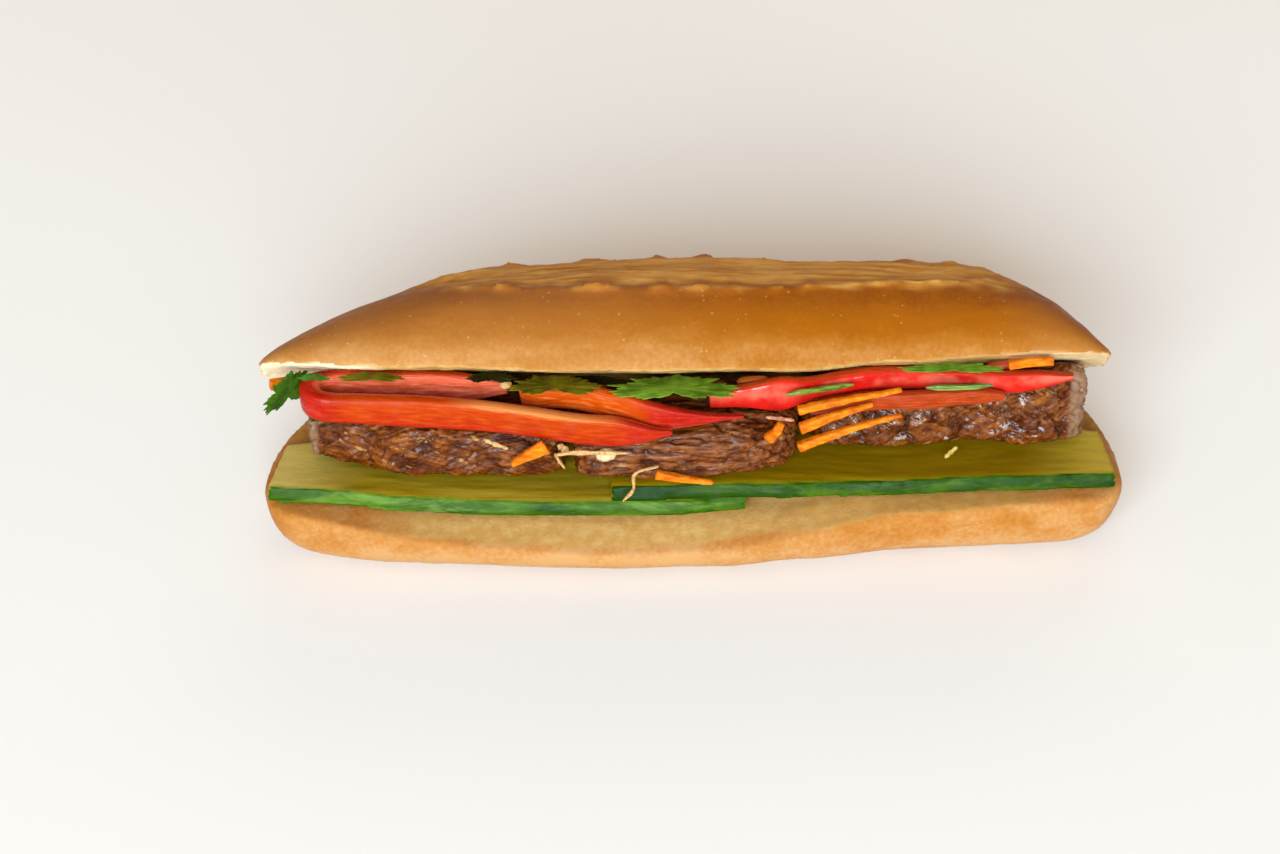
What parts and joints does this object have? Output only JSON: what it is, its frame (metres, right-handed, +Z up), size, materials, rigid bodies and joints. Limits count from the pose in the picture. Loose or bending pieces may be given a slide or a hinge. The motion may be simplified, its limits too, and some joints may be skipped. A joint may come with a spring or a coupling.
{
  "type": "banh mi sandwich",
  "caption": "Split crusty roll hinged along its back and propped open over cucumber planks, braised beef, red pepper, coriander and carrot.",
  "frame": {"origin": "centre of the whole sandwich's box, on the surface it rests on", "axes": "+X along the roll, -Y towards the open front that shows the filling, +Z up"},
  "size_m": [0.2496, 0.0828, 0.0791],
  "materials": {
    "crust": "golden baked crust, satin, with pale crumb on the cut faces",
    "cucumber": "wet flesh with glossy dark green skin",
    "beef": "braised, fibrous, glazed with sauce",
    "pepper": "glossy red skin with softer orange and pink flesh",
    "carrot": "cut raw carrot, slightly wet",
    "leaf": "coriander leaf, satin with veins",
    "strand": "pale pickled shred"
  },
  "bodies": {
    "root": {"bread": "crust", "cucumber_left": "cucumber", "cucumber_right": "cucumber", "beef_left": "beef", "beef_middle": "beef", "beef_right": "beef", "pepper_ring": "pepper", "pepper_fold": "pepper", "pepper_long": "pepper", "pepper_low": "pepper", "pepper_back_middle": "pepper", "pepper_back_right": "pepper", "carrot_left_end": "carrot", "carrot_wedge": "carrot", "carrot_stub": "carrot", "carrot_upper": "carrot", "carrot_middle": "carrot", "carrot_lower": "carrot", "carrot_right_end": "carrot", "carrot_under": "carrot", "strand_left": "strand", "strand_middle": "strand", "strand_root": "strand", "strand_gap": "strand", "strand_fine": "strand", "strand_upper": "strand", "strand_right": "strand", "pepper_seed": "strand", "green_sliver_left": "leaf", "green_sliver_right": "leaf", "leaf_left": "leaf", "leaf_left_top": "leaf", "leaf_left_low": "leaf", "leaf_olive_left": "leaf", "leaf_dark_left": "leaf", "leaf_olive_middle": "leaf", "leaf_dark_middle": "leaf", "leaf_centre": "leaf", "leaf_right": "leaf"}
  },
  "joints": []
}
